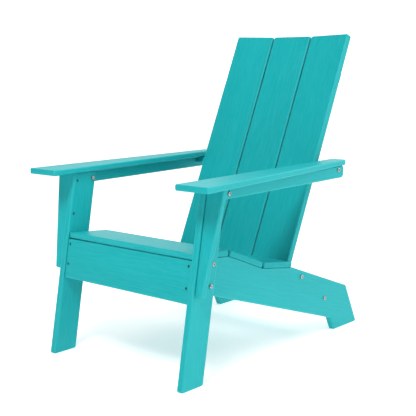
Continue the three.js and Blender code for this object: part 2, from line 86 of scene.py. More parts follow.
bpy.ops.object.select_all(action="DESELECT")
bpy.ops.object.camera_add(location=camera_place)
camera = bpy.context.object
camera.name = "camera"
ahead = Vector((
    -math.sin(camera_azimuth) * math.cos(camera_fall),
    math.cos(camera_azimuth) * math.cos(camera_fall),
    -math.sin(camera_fall),
))
level_right = Vector((math.cos(camera_azimuth), math.sin(camera_azimuth), 0))
level_up = level_right.cross(ahead)
right = level_right * math.cos(camera_roll) + level_up * math.sin(camera_roll)
up = level_up * math.cos(camera_roll) - level_right * math.sin(camera_roll)
camera.rotation_euler = Matrix((right, up, -ahead)).transposed().to_euler()
camera.data.sensor_width = sensor_mm
camera.data.lens = lens_mm
bpy.context.scene.camera = camera
print("the camera looks along", [round(part, 3) for part in ahead])

# %% [markdown]
# ## Working by hand, in code
#
# An operator acts on everything that is selected, and the frame arrives selected. So each step
# first drops the selection, then picks one piece. In edit mode the corners, edges or faces to work
# on are picked by a test, such as "the edges that stand upright", never by their numbers.

# %% Picking a piece, and picking parts of it
def let_go():
    """Back to object mode with nothing selected."""
    if bpy.context.object and bpy.context.object.mode != "OBJECT":
        bpy.ops.object.mode_set(mode="OBJECT")
    bpy.ops.object.select_all(action="DESELECT")


def pick(piece):
    """Makes one piece the only selected one."""
    let_go()
    piece.select_set(True)
    bpy.context.view_layer.objects.active = piece


def mark(piece, kind, test):
    """In edit mode, selects just the vertices, edges or faces that pass a test."""
    bpy.ops.mesh.select_mode(type=kind)
    bpy.ops.mesh.select_all(action="DESELECT")
    mesh = bmesh.from_edit_mesh(piece.data)
    parts = {"VERT": mesh.verts, "EDGE": mesh.edges, "FACE": mesh.faces}[kind]
    for part in parts:
        if test(part):
            part.select_set(True)
    bmesh.update_edit_mesh(piece.data)


def apply_modifier(piece, kind, **settings):
    """Adds one modifier and applies it at once."""
    pick(piece)
    modifier = piece.modifiers.new(kind.lower(), kind)
    for name, value in settings.items():
        setattr(modifier, name, value)
    bpy.ops.object.modifier_apply(modifier=modifier.name)


# %% [markdown]
# ## Reading the frame
#
# Every board is flat, so it is fully described by the planes of its faces. `reach` slides a plane
# along a direction until it touches a board of the frame, on either side. Where two edge planes
# and one face plane cross, there is a corner. So a board's outline follows from the directions of
# its edges alone, and it fits the frame closely.

# %% Planes and corners
X, Y, Z = Vector((1, 0, 0)), Vector((0, 1, 0)), Vector((0, 0, 1))


def leaning(degrees):
    """The direction that leans back this far from upright."""
    return Vector((0, math.sin(math.radians(degrees)), math.cos(math.radians(degrees))))


def running(degrees):
    """The direction that runs to the rear and falls this much: it is square to leaning."""
    return Vector((0, math.cos(math.radians(degrees)), -math.sin(math.radians(degrees))))


def reach(node, direction):
    """The nearest and the farthest that a node of the frame reaches along a direction."""
    marks = [vertex.co.dot(direction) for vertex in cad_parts[node].data.vertices]
    return min(marks), max(marks)


def crossing(*planes):
    """The point where three planes cross. A plane is a direction and a distance along it."""
    rows = Matrix([direction for direction, distance in planes])
    return rows.inverted() @ Vector([distance for direction, distance in planes])


print("the chair's seat starts", round(reach("seat_slat_front", Z)[1], 4), "m above the ground")

# %% [markdown]
# ## Sawing a board
#
# A board could start as a scaled cube, but many of these boards are raked, tapered or bent. It is
# easier to draw the outline as one flat face, as a sawyer marks a sheet, and to extrude it to the
# board's thickness. A filled circle with as many points as the outline has corners is the start,
# and each point is moved to its own corner.

# %% Saw the outline
def saw(name, corners, face, thickness):
    """A sharp-edged board: corners lie on its lower face, and face points to the other one."""
    let_go()
    bpy.ops.mesh.primitive_circle_add(vertices=len(corners), fill_type="NGON")
    piece = bpy.context.object
    piece.name = name
    piece.data.name = name
    for vertex, corner in zip(piece.data.vertices, corners):
        vertex.co = corner
    bpy.ops.object.mode_set(mode="EDIT")
    bpy.ops.mesh.select_all(action="SELECT")
    bpy.ops.mesh.extrude_region_move(TRANSFORM_OT_translate={"value": face * thickness})
    bpy.ops.mesh.select_all(action="SELECT")
    bpy.ops.mesh.normals_make_consistent(inside=False)
    let_go()
    return piece


# %% [markdown]
# ## Rounding corners and easing edges
#
# Real boards have no sharp arris: the corners of the outline are rounded on the saw or sander, and
# a router then runs round both faces. Doing it in that order matters here too. The upright edges
# are bevelled first, with enough segments to read as an arc, and then every edge that is still
# sharp gets the smaller router bevel. A bevel is set by how far back it starts, so for the same
# radius a pointed corner starts farther back than a blunt one: by the tangent of half its turn.

# %% Round the corners, then ease the edges
edge_radius = 0.0042
corner_radius = 0.006
corner_segments = 6
edge_segments = 4
sharp = math.radians(28)
parallel = 0.99


def round_corners(piece, face, soft=()):
    """Rounds the outline's corners. soft lists (place, radius) for corners with a bigger radius."""
    pick(piece)
    bpy.ops.object.mode_set(mode="EDIT")

    def upright(edge):
        line = (edge.verts[1].co - edge.verts[0].co).normalized()
        return abs(line.dot(face)) > parallel and edge.calc_face_angle(0) > sharp

    def middle(edge):
        return (edge.verts[0].co + edge.verts[1].co) / 2

    def turn_of(edge):
        return round(math.degrees(edge.calc_face_angle(0)))

    for place, radius in soft:
        near = 2 * radius
        mark(piece, "EDGE", lambda edge: upright(edge) and (middle(edge) - place).length < near)
        bpy.ops.mesh.bevel(offset=radius, segments=2 * corner_segments, affect="EDGES")
    mark(piece, "EDGE", upright)
    edges = bmesh.from_edit_mesh(piece.data).edges
    for turn in sorted({turn_of(edge) for edge in edges if edge.select}):
        mark(piece, "EDGE", lambda edge: upright(edge) and turn_of(edge) == turn)
        setback = corner_radius * math.tan(math.radians(turn) / 2)
        bpy.ops.mesh.bevel(offset=setback, segments=corner_segments, affect="EDGES")
    let_go()


def ease_edges(piece):
    """Runs a small round bevel along every edge that is still sharp."""
    pick(piece)
    bpy.ops.object.mode_set(mode="EDIT")
    mark(piece, "EDGE", lambda edge: edge.calc_face_angle(0) > sharp)
    bpy.ops.mesh.bevel(offset=edge_radius, segments=edge_segments, affect="EDGES")
    let_go()


# %% [markdown]
# ## One way to make every plain board
#
# `make_board` puts the steps together. It takes the direction that the board's face looks in and
# the outward directions of its edges, in order round the outline. It keeps, with the piece, which
# way the board was extruded at the mill, because the grain will follow that.

# %% Make a board from the frame
boards = {}


def finish_board(node, piece, face, length):
    """Files a board under its node and prints how closely its box matches the frame's."""
    boards[node] = {"piece": piece, "face": face, "length": length}
    low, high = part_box(node)
    off = 0
    for axis in range(3):
        marks = [vertex.co[axis] for vertex in piece.data.vertices]
        off = max(off, abs(min(marks) - low[axis]), abs(max(marks) - high[axis]))
    print(f"{node}: within {1000 * off:.2f} mm of the frame, {len(piece.data.polygons)} faces")


def outline_in_frame(node, face, edges):
    """The corners on the lower face where a node's edge planes cross, and its thickness."""
    low, high = reach(node, face)
    planes = [(edge, reach(node, edge)[1]) for edge in edges]
    corners = [crossing(planes[i - 1], planes[i], (face, low)) for i in range(len(planes))]
    return corners, high - low


def make_board(node, face, edges, length, soft=()):
    """A plain board: sawn, rounded and eased."""
    corners, thickness = outline_in_frame(node, face, edges)
    piece = saw(f"{node}_board", corners, face, thickness)
    round_corners(piece, face, [(corners[i] + face * thickness / 2, radius) for i, radius in soft])
    ease_edges(piece)
    finish_board(node, piece, face, length)


# %% [markdown]
# ## The front legs and the apron
#
# The front legs lean back, and are cut level where they meet the ground and the armrest. The apron
# is the wide board between the seat and the shins. It leans with the legs and closes the front.

# %% Legs and apron
SIDES = {"left": 1, "right": -1}
leg_rake = 11.25
rake_up = leaning(leg_rake)
rake_rear = running(leg_rake)

for side in SIDES:
    make_board(f"{side}_front_leg", X, [-rake_rear, -Z, rake_rear, Z], rake_up)
make_board("front_apron", rake_rear, [-rake_up, X, rake_up, -X], X)

# %% [markdown]
# ## The seat
#
# Three wide slats make a shallow dish: the front one is almost level, the middle one falls
# steeply, and the rear one flattens out again under the back. Only their falls differ, so one loop
# makes them.

# %% Seat slats
slat_falls = {"front": 5.5, "middle": 22.5, "rear": 9.3}

for place, fall in slat_falls.items():
    make_board(f"seat_slat_{place}", leaning(fall), [-running(fall), X, running(fall), -X], X)

# %% [markdown]
# ## The stringers
#
# A stringer is the long side board that carries the seat and then runs on to become the back foot.
# Its outline is bent, so planes that only touch it from outside can't give every corner. The top
# edge comes from the slats that lie on it, and the inner corner of the foot from a few sizes.

# %% Stringers
fit_gap = 0.0003
stringer_end_depth = 0.0907
foot_length = 0.135
foot_lean = 24.8
foot_notch_height = 0.045
tail_fall = 21.1
stringer_grain_fall = 18.5


def on_profile(*planes):
    """Where two planes cross on the chair's middle plane."""
    return crossing((X, 0), *planes)


def make_stringer(side):
    """A stringer: its bent outline is drawn in profile, and then sawn like any other board."""
    node = f"{side}_stringer"
    low, high = reach(node, X)
    bearing = {}
    for place, fall in slat_falls.items():
        bearing[place] = (leaning(fall), reach(f"seat_slat_{place}", leaning(fall))[0] - fit_gap)
    front_end = (-rake_rear, reach(node, -rake_rear)[1])
    tail_top = (leaning(tail_fall), reach(node, leaning(tail_fall))[1])
    foot_rear = (running(-foot_lean), reach(node, running(-foot_lean))[1])
    ground = (Z, 0)
    top_front = on_profile(front_end, bearing["front"])
    heel = on_profile(foot_rear, ground)
    toe = heel - Y * foot_length
    notch = toe + leaning(-foot_lean) * (foot_notch_height / math.cos(math.radians(foot_lean)))
    profile = [
        top_front - rake_up * stringer_end_depth,
        notch,
        toe,
        heel,
        on_profile(foot_rear, tail_top),
        on_profile(tail_top, bearing["rear"]),
        on_profile(bearing["rear"], bearing["middle"]),
        on_profile(bearing["middle"], bearing["front"]),
        top_front,
    ]
    piece = saw(f"{node}_board", [corner + X * low for corner in profile], X, high - low)
    round_corners(piece, X)
    ease_edges(piece)
    finish_board(node, piece, X, running(stringer_grain_fall))


for side in SIDES:
    make_stringer(side)

# %% [markdown]
# ## Arms
#
# Each arm is three boards. A strip is bolted along the outside of the leg, a tapered bracket stands
# out from the leg like a fin, and the wide armrest lies on both. The armrest narrows to the rear,
# and its inner rear corner is well rounded, because that is where a sleeve would catch.

# %% Rails and armrests
armrest_front_width = 0.1213
armrest_rear_width = 0.054
armrest_length = 0.7441
arm_taper = math.degrees(math.atan((armrest_front_width - armrest_rear_width) / armrest_length))
rail_end_radius = 0.014
sleeve_corner_radius = 0.014


def tapering(sign, degrees, along):
    """Points outwards to one side, and turns towards along."""
    turned = math.radians(degrees)
    return X * sign * math.cos(turned) + along * math.sin(turned)


for side, sign in SIDES.items():
    make_board(f"{side}_arm_rail", X, [-rake_rear, -Z, Y, Z], Y, soft=[(2, rail_end_radius)])
    rest_edges = [-Y, tapering(sign, arm_taper, Y), Y, -X * sign]
    make_board(f"{side}_armrest", Z, rest_edges, Y, soft=[(3, sleeve_corner_radius)])

# %% [markdown]
# The bracket leans with the leg but is cut level under the armrest. So it is sawn a little too
# long, and then a level plane cuts it off, which is what bisect does.

# %% Arm brackets
bracket_top_width = 0.063
bracket_foot_width = 0.026
bracket_length = 0.300 / rake_up.z
bracket_taper = math.degrees(math.atan((bracket_top_width - bracket_foot_width) / bracket_length))
bracket_spare = 0.02


def make_bracket(side, sign):
    """A bracket: sawn too long at the top, rounded, cut level, and then eased."""
    node = f"{side}_arm_bracket"
    outer = tapering(sign, bracket_taper, -rake_up)
    corners, thickness = outline_in_frame(node, rake_rear, [-rake_up, outer, rake_up, -X * sign])
    down_outer = (corners[1] - corners[2]).normalized()
    corners[2] = corners[2] - down_outer * bracket_spare
    corners[3] = corners[3] + rake_up * bracket_spare
    piece = saw(f"{node}_board", corners, rake_rear, thickness)
    round_corners(piece, rake_rear)
    pick(piece)
    bpy.ops.object.mode_set(mode="EDIT")
    bpy.ops.mesh.select_all(action="SELECT")
    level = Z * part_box(node)[1].z
    bpy.ops.mesh.bisect(plane_co=level, plane_no=Z, clear_outer=True, use_fill=True)
    let_go()
    ease_edges(piece)
    finish_board(node, piece, rake_rear, rake_up)


for side, sign in SIDES.items():
    make_bracket(side, sign)

# %% [markdown]
# ## The back
#
# Three tall slats lean back 25 degrees. The outer two are turned inwards by a few degrees, so that
# the back cups the sitter's shoulders.

# %% Back slats
recline = 25
slat_turn = 4
back_up = leaning(recline)
back_away = running(recline)


def turned_slat(sign):
    """Which way a slat's face and its outer edge look: sign is 1, 0 or -1."""
    swing = Matrix.Rotation(math.radians(-slat_turn * sign), 3, back_up)
    return swing @ back_away, swing @ X


for place, sign in {"centre": 0, **SIDES}.items():
    away, outwards = turned_slat(sign)
    make_board(f"back_slat_{place}", away, [-back_up, outwards, back_up, -outwards], back_up)

# %% [markdown]
# ## The braces
#
# Four boards tie the two sides together. Three of them touch the slats, so their front edges are
# cut to the slats' shallow hollow. A boolean does that best: a block with the shape of the space
# that the slats take up is made once, and taken away from each brace before its edges are eased.

# %% The space that the slats take up
def slat_plane(sign):
    """The plane just behind one slat."""
    away, outwards = turned_slat(sign)
    place = {0: "centre", 1: "left", -1: "right"}[sign]
    return away, reach(f"back_slat_{place}", away)[1] + fit_gap


floor_plane = (back_up, reach("back_slat_centre", back_up)[0])
side_reach = 0.5
front_spread = 0.1
front_reach = reach("back_slat_centre", back_away)[0] - front_spread
block_corners = [
    crossing(floor_plane, (X, -side_reach), slat_plane(-1)),
    crossing(floor_plane, slat_plane(-1), slat_plane(0)),
    crossing(floor_plane, slat_plane(0), slat_plane(1)),
    crossing(floor_plane, (X, side_reach), slat_plane(1)),
    crossing(floor_plane, (X, side_reach), (back_away, front_reach)),
    crossing(floor_plane, (X, -side_reach), (back_away, front_reach)),
]
slat_length = reach("back_slat_centre", back_up)[1] - floor_plane[1]
slat_block = saw("slat_space", block_corners, back_up, slat_length)
hollow = block_corners[1].dot(back_away) - block_corners[0].dot(back_away)
print("half a metre to the side, the back has come forward", round(1000 * hollow), "mm")

# %% [markdown]
# A brace is sawn with some spare wood towards the slats, and the block takes it away again, so its
# front edge follows the hollow however deep that is. The rear stretcher touches no slat, and is a
# plain board. The block is only a tool, so it is removed at the end.

# %% Cut and make the braces
def take_away(piece, cutter):
    """Cuts one closed shape out of another."""
    apply_modifier(piece, "BOOLEAN", object=cutter, operation="DIFFERENCE", solver="EXACT")


front_spare = 0.016


def make_brace(node, face, edges, spare=None):
    """Saws a brace with spare wood towards the slats, then cuts it to their hollow."""
    corners, thickness = outline_in_frame(node, face, edges)
    if spare == "edge":
        corners[0] = corners[0] + edges[0] * front_spare
        corners[1] = corners[1] + edges[0] * front_spare
    elif spare == "face":
        corners = [corner - face * front_spare for corner in corners]
        thickness += front_spare
    piece = saw(f"{node}_board", corners, face, thickness)
    round_corners(piece, face)
    if spare:
        take_away(piece, slat_block)
    ease_edges(piece)
    finish_board(node, piece, face, X)


tail_up = leaning(tail_fall)
tail_rear = running(tail_fall)
make_brace("upper_back_brace", back_away, [-back_up, X, back_up, -X], spare="face")
make_brace("arm_back_brace", Z, [-Y, X, Y, -X], spare="edge")
make_brace("lower_back_brace", back_up, [-back_away, X, back_away, -X], spare="edge")
make_brace("rear_stretcher", tail_up, [-tail_rear, X, tail_rear, -X])
bpy.data.objects.remove(slat_block)

# %% [markdown]
# ## Bolts, nuts and dowels
#
# The joints that carry weight have machine bolts with round heads and a hexagon socket. Each one
# is a turned part, so a many-sided cylinder is the start: the rim is bevelled into a dome, the
# underside is inset and drawn out into the shank, and a six-sided cutter sinks the socket. The
# steps that all fasteners share come first, as small helpers.

# %% Shared steps for turned parts
turned_sides = 32
flat_enough = 1e-6
cutter_spare = 0.01


def blank(name, radius, top, bottom, sides=turned_sides):
    """A cylinder between two heights, left in edit mode with nothing selected."""
    let_go()
    middle = (0, 0, (top + bottom) / 2)
    bpy.ops.mesh.primitive_cylinder_add(vertices=sides, radius=radius, depth=top - bottom, location=middle)
    piece = bpy.context.object
    piece.name = name
    bpy.ops.object.transform_apply(location=True, rotation=False, scale=False)
    bpy.ops.object.mode_set(mode="EDIT")
    bpy.ops.mesh.select_all(action="DESELECT")
    return piece


def face_at(height):
    """A test for the flat face that lies at a height."""
    def test(face):
        level = abs(face.calc_center_median().z - height) < flat_enough
        return level and abs(face.normal.z) > parallel

    return test


def rim_at(height):
    """A test for the edges round the face at a height."""
    return lambda edge: all(abs(vertex.co.z - height) < flat_enough for vertex in edge.verts)


def bevel_rim(piece, height, width, segments):
    """Bevels the edge round the face at a height."""
    mark(piece, "EDGE", rim_at(height))
    bpy.ops.mesh.bevel(offset=width, segments=segments, affect="EDGES")


def draw_out(piece, height, inset, distance):
    """Insets the face at a height and pushes it up or down."""
    mark(piece, "FACE", face_at(height))
    if inset:
        bpy.ops.mesh.inset(thickness=inset, depth=0)
    bpy.ops.mesh.extrude_region_move(TRANSFORM_OT_translate={"value": (0, 0, distance)})


def sink(piece, radius, depth, sides):
    """Cuts a straight socket with this many sides into the top of a piece."""
    cutter = blank("cutter", radius, cutter_spare, -depth, sides)
    let_go()
    take_away(piece, cutter)
    bpy.data.objects.remove(cutter)


# %% [markdown]
# Every fastener is modelled once, pointing up with its outermost point at the origin, and is copied
# later. There are two lengths of bolt: the frame's own bolts say how long each is.

# %% The bolt
bolt_head_radius = 0.00625
bolt_head_height = 0.004
bolt_crown = 0.0022
bolt_radius = 0.0032
bolt_examples = {"leg_bolt": "left_leg_upper_bolt", "end_bolt": "left_rail_rear_bolt"}
small_chamfer = 0.0006
socket_radius = 0.0032
socket_depth = 0.0024


def make_bolt(kind):
    """A bolt as long as the frame's own: dome, shank and socket."""
    low, high = reach(bolt_examples[kind], X)
    piece = blank(kind, bolt_head_radius, 0, -bolt_head_height)
    bevel_rim(piece, 0, bolt_crown, segments=6)
    shank = high - low - bolt_head_height
    draw_out(piece, -bolt_head_height, bolt_head_radius - bolt_radius, -shank)
    bevel_rim(piece, low - high, small_chamfer, segments=1)
    sink(piece, socket_radius, socket_depth, sides=6)
    return piece


masters = {kind: make_bolt(kind) for kind in bolt_examples}
print("a bolt has", len(masters["leg_bolt"].data.polygons), "faces")

# %% [markdown]
# The cap nut closes over the end of a through bolt, so no thread sticks out beside a sitter's leg.
# It is a domed blank with a bore from below and a shallow socket on top, which holds it still while
# the bolt is turned. A cross dowel is a steel rod let into a brace from below: the bolt screws into
# a hole through its side, and a slot shows which way that hole points.

# %% The cap nut and the cross dowel
nut_height = 0.0072
nut_crown = 0.0026
nut_bore_radius = bolt_radius + 0.0003
nut_bore_depth = 0.0052
nut_socket_depth = 0.0012
dowel_radius = 0.005
dowel_length = 0.016
dowel_slot = (0.02, 0.0012, 0.003)
dowel_bore_radius = bolt_radius + 0.0002
dowel_bore_length = 0.04
dowel_bore_sides = 24


def make_cap_nut():
    """A domed nut, bored from below."""
    piece = blank("cap_nut", bolt_head_radius, 0, -nut_height)
    bevel_rim(piece, 0, nut_crown, segments=6)
    draw_out(piece, -nut_height, bolt_head_radius - nut_bore_radius, nut_bore_depth)
    sink(piece, socket_radius, nut_socket_depth, sides=6)
    return piece


def make_dowel():
    """A short rod with a hole across its middle and a slot in its end."""
    piece = blank("cross_dowel", dowel_radius, 0, -dowel_length)
    bevel_rim(piece, 0, small_chamfer, segments=2)
    bevel_rim(piece, -dowel_length, small_chamfer, segments=2)
    let_go()
    bpy.ops.mesh.primitive_cube_add(size=1, scale=dowel_slot)
    slot = bpy.context.object
    take_away(piece, slot)
    bpy.data.objects.remove(slot)
    let_go()
    bpy.ops.mesh.primitive_cylinder_add(
        vertices=dowel_bore_sides,
        radius=dowel_bore_radius,
        depth=dowel_bore_length,
        location=(0, 0, -dowel_length / 2),
        rotation=(0, math.pi / 2, 0),
    )
    bore = bpy.context.object
    take_away(piece, bore)
    bpy.data.objects.remove(bore)
    return piece


masters["cap_nut"] = make_cap_nut()
masters["cross_dowel"] = make_dowel()
print("a cross dowel has", len(masters["cross_dowel"].data.polygons), "faces")

# %% [markdown]
# ## Screws
#
# The wood screws have flat heads that taper into the shank, and a square drive. The head sits just
# below the face of the board, with its own little countersink round it.

# %% The screws
screw_sides = 24
screw_head_radius = 0.0042
screw_head_height = 0.003
screw_rim = 0.0004
screw_radius = 0.0022
screw_point = 0.006
screw_point_radius = 0.0003
screw_length = {"long_screw": 0.0444, "short_screw": 0.0394}
drive_radius = 0.0021
drive_depth = 0.002


def pull_in(piece, height, radius_now, radius_then, distance):
    """Extrudes the face at a height and narrows it, for tapers and points."""
    mark(piece, "FACE", face_at(height))
    bpy.ops.mesh.extrude_region_move(TRANSFORM_OT_translate={"value": (0, 0, distance)})
    share = radius_then / radius_now
    centre = (0, 0, height + distance)
    bpy.ops.transform.resize(value=(share, share, 1), center_override=centre)


def make_screw(kind):
    """A screw from the top down: rim, taper, straight shank and point."""
    piece = blank(kind, screw_head_radius, 0, -screw_rim, screw_sides)
    pull_in(piece, -screw_rim, screw_head_radius, screw_radius, screw_rim - screw_head_height)
    straight = screw_length[kind] - screw_head_height - screw_point
    draw_out(piece, -screw_head_height, 0, -straight)
    pull_in(piece, -screw_head_height - straight, screw_radius, screw_point_radius, -screw_point)
    sink(piece, drive_radius, drive_depth, sides=4)
    return piece


for kind in screw_length:
    masters[kind] = make_screw(kind)
print("fasteners modelled:", ", ".join(masters))

# %% [markdown]
# ## Where each fastener goes
#
# The frame holds every bolt, nut, dowel and screw as its own node. Each is round, so its axis runs
# through the middle of its box, and only the way it points has to be said. The sockets are turned
# to different angles, as a fitter leaves them.

# %% Where the fasteners go
def standing(node, outward):
    """The matrix that stands a fastener at its node's outermost point, facing outward."""
    across = Y if abs(outward.x) > 0.5 else X
    along = outward.cross(across)
    origin = outward * reach(node, outward)[1]
    for direction in (across, along):
        origin = origin + direction * (sum(reach(node, direction)) / 2)
    return Matrix.Translation(origin) @ Matrix((across, along, outward)).transposed().to_4x4()


fasteners = {}


def fasten(node, kind, outward, boards_through):
    """Notes one fastener: its model, the way it faces, and the boards it passes through."""
    fasteners[node] = {"kind": kind, "place": standing(node, outward), "through": boards_through}


for side, sign in SIDES.items():
    out = X * sign
    for level in ("leg_upper", "leg_lower"):
        through = [f"{side}_front_leg", f"{side}_stringer"]
        fasten(f"{side}_{level}_bolt", "leg_bolt", out, through)
        fasten(f"{side}_{level}_nut", "cap_nut", -out, [])
    fasten(f"{side}_rail_front_bolt", "leg_bolt", out, [f"{side}_arm_rail", f"{side}_front_leg"])
    fasten(f"{side}_rail_front_nut", "cap_nut", -out, [])
    for joint, board, brace, dowel_up in (
        ("rail_rear", "arm_rail", "arm_back_brace", Z),
        ("lower_brace", "stringer", "lower_back_brace", back_up),
        ("stretcher", "stringer", "rear_stretcher", tail_up),
    ):
        fasten(f"{side}_{joint}_bolt", "end_bolt", out, [f"{side}_{board}", brace])
        fasten(f"{side}_{joint}_dowel", "cross_dowel", -dowel_up, [brace])
    for level in ("upper", "lower"):
        through = ["front_apron", f"{side}_stringer"]
        fasten(f"{side}_apron_screw_{level}", "long_screw", -rake_rear, through)
        through = [f"{side}_front_leg", f"{side}_arm_bracket"]
        fasten(f"{side}_bracket_screw_{level}", "long_screw", -out, through)

brace_screws = {
    "centre_right": "centre",
    "centre_left": "centre",
    "left_inner": "left",
    "left_outer": "left",
    "right_inner": "right",
    "right_outer": "right",
}
for place, slat in brace_screws.items():
    through = ["upper_back_brace", f"back_slat_{slat}"]
    fasten(f"upper_brace_screw_{place}", "short_screw", back_away, through)
print(len(fasteners), "fasteners are noted")

# %% [markdown]
# ## Drilling
#
# A bolt's hole is a little wider than its shank, and a dowel's hole stops where the dowel ends. A
# screw hole opens into a countersink, so its cutter is the screw itself, a little thicker, with the
# head carried on past the surface. Each cutter is placed exactly as its fastener will be.
#
# A boolean rebuilds every face that it cuts, and a long face with several holes can come out with
# slivers. So a line is first scored across the board on each side of a hole, as a carpenter marks
# out with a square. Then each boolean only changes the short strip between two lines.

# %% Drill the boards
drill_play = 0.0004
dowel_play = 0.0001
above_surface = 0.004
above_dowel = 0.03
ruling_gap = 0.011
ruling_apart = 0.003


def make_drill(kind):
    """The cutter for one kind of fastener, in the same place as the fastener's model."""
    if kind in bolt_examples:
        low, high = reach(bolt_examples[kind], X)
        drill = blank("drill", bolt_radius + drill_play, above_surface, low - high - drill_play)
    elif kind == "cross_dowel":
        # The brace's underside is beyond the dowel, so this drill starts well outside it.
        drill = blank("drill", dowel_radius + dowel_play, above_dowel, -dowel_length - drill_play)
    else:
        wide, narrow = screw_head_radius + drill_play, screw_radius + drill_play
        taper = -screw_head_height - drill_play
        drill = blank("drill", wide, above_surface, 0, screw_sides)
        pull_in(drill, 0, wide, narrow, taper)
        draw_out(drill, taper, 0, -screw_length[kind] - drill_play - taper)
    let_go()
    return drill


def rule_line(piece, across, distance):
    """Scores one line right round a board, without cutting it."""
    pick(piece)
    bpy.ops.object.mode_set(mode="EDIT")
    bpy.ops.mesh.select_all(action="SELECT")
    bpy.ops.mesh.bisect(plane_co=across * distance, plane_no=across)
    let_go()


rulings = {node: [] for node in boards}
for fastener in fasteners.values():
    place = fastener["place"]
    outward = place.col[2].to_3d()
    for node in fastener["through"]:
        along = boards[node]["length"]
        is_crossing = abs(outward.dot(along)) < 0.5
        if is_crossing:
            middle = place.translation.dot(along)
            rulings[node] += [middle - ruling_gap, middle + ruling_gap]
for node, distances in rulings.items():
    last = -math.inf
    for distance in sorted(distances):
        if distance - last > ruling_apart:
            rule_line(boards[node]["piece"], boards[node]["length"], distance)
            last = distance

holes = 0
for kind in masters:
    if kind == "cap_nut":
        continue
    drill = make_drill(kind)
    for fastener in fasteners.values():
        if fastener["kind"] == kind:
            drill.matrix_world = fastener["place"]
            bpy.context.view_layer.update()
            for board in fastener["through"]:
                take_away(boards[board]["piece"], drill)
                holes += 1
    bpy.data.objects.remove(drill)
print(holes, "holes drilled")

# %% [markdown]
# ## Clean shading
#
# The flats must look flat and the eased edges round. Shade smooth by angle keeps real corners
# crisp, but it also bends the shading of a flat a little where it meets an eased edge, and that
# shows on wide boards. So every corner of a flat is given the flat's own normal, and the thin
# strips of an eased edge start from that same normal and turn smoothly to the next flat.

# %% Shade the boards and the fasteners
crisp = math.radians(32)
narrow_strip = 0.0026


def is_narrow(mesh):
    """A test for the thin strips that an edge bevel leaves."""
    def longest(polygon):
        spots = [mesh.vertices[corner].co for corner in polygon.vertices]
        return max((spots[i] - spots[i - 1]).length for i in range(len(spots)))

    return lambda polygon: polygon.area < narrow_strip * longest(polygon)


def shade(piece):
    """Smooth shading, with real corners left crisp."""
    pick(piece)
    bpy.ops.object.shade_smooth_by_angle(angle=crisp)


def firm_up_flats(piece):
    """Gives flats their own normal, right up to the eased edges."""
    mesh = piece.data
    narrow = is_narrow(mesh)
    flats_at = {}
    for polygon in mesh.polygons:
        if not narrow(polygon):
            for corner in polygon.vertices:
                flats_at.setdefault(corner, []).append(polygon.normal.copy())
    smooth = [corner.vector.copy() for corner in mesh.corner_normals]
    for polygon in mesh.polygons:
        for loop, corner in zip(polygon.loop_indices, polygon.vertices):
            beside = [flat for flat in flats_at.get(corner, []) if flat.angle(polygon.normal) < crisp]
            if beside:
                smooth[loop] = max(beside, key=polygon.normal.dot)
    mesh.normals_split_custom_set(smooth)


for board in boards.values():
    shade(board["piece"])
    firm_up_flats(board["piece"])
for piece in masters.values():
    shade(piece)
print("shaded", len(boards), "boards and", len(masters), "fasteners")

# %% [markdown]
# ## Marks for the finish
#
# Plastic lumber is pressed through a die and drawn off lengthwise, so its fine lines always run
# along the board, however the board lies in the chair. Each corner point therefore carries its
# place measured along, across and through its own board. Two more marks tell where a saw cut the
# board to length, and where the router rounded an edge: those spots have another surface, and the
# rounded edges also get a painted highlight.

# %% Mark the grain, the sawn ends and the eased edges
chance = random.Random(23)
end_share = 0.8


def mark_grain(piece, along, across, through, start=Vector((0, 0, 0))):
    """Writes each point's place along, across and through the piece."""
    grain = piece.data.attributes.new("grain", "FLOAT_VECTOR", "POINT")
    for vertex, value in zip(piece.data.vertices, grain.data):
        lines = Vector((vertex.co.dot(along), vertex.co.dot(across), vertex.co.dot(through)))
        value.vector = lines + start


def mark_faces(piece, name, test):
    """Writes 1 on the faces that pass a test, and 0 on the others."""
    values = piece.data.attributes.new(name, "FLOAT", "FACE")
    for polygon, value in zip(piece.data.polygons, values.data):
        value.value = float(test(polygon))


for board in boards.values():
    piece, along, through = board["piece"], board["length"], board["face"]
    start = Vector((chance.uniform(0, 9), chance.uniform(0, 9), chance.uniform(0, 9)))
    mark_grain(piece, along, along.cross(through), through, start)
    mark_faces(piece, "sawn_end", lambda polygon: abs(polygon.normal.dot(along)) > end_share)
    mark_faces(piece, "eased_edge", is_narrow(piece.data))
for piece in masters.values():
    mark_grain(piece, X, Y, Z)
print("marked", len(boards), "boards and", len(masters), "fasteners")

# %% [markdown]
# ## Materials by nodes
#
# A small helper adds a node, sets its inputs and links what is given as a socket, so that a
# material can be read from top to bottom.

# %% A helper for node materials
def new_material(name):
    """A new material with nodes, and its node tree."""
    material = bpy.data.materials.new(name)
    material.use_nodes = True
    return material, material.node_tree


def add_node(tree, kind, inputs, **settings):
    """Adds a node. inputs maps an input's name or place to a value or to another node's output."""
    added = tree.nodes.new(kind)
    for name, value in settings.items():
        setattr(added, name, value)
    for place, value in inputs.items():
        if isinstance(value, bpy.types.NodeSocket):
            tree.links.new(value, added.inputs[place])
        else:
            added.inputs[place].default_value = value
    return added


def arithmetic(tree, operation, *values):
    """One math node. Numbers and sockets can be mixed."""
    return add_node(tree, "ShaderNodeMath", dict(enumerate(values)), operation=operation).outputs[0]


def in_range(tree, value, low, high, to_low=0.0, to_high=1.0):
    """Stretches a value from one range to another, and stops at both ends."""
    inputs = {"Value": value, "From Min": low, "From Max": high, "To Min": to_low, "To Max": to_high}
    return add_node(tree, "ShaderNodeMapRange", inputs).outputs["Result"]


def blend_colours(tree, share, first, second):
    """Mixes two colours: share 0 gives the first one."""
    mixed = add_node(tree, "ShaderNodeMix", {0: share, 6: first, 7: second}, data_type="RGBA")
    return mixed.outputs[2]


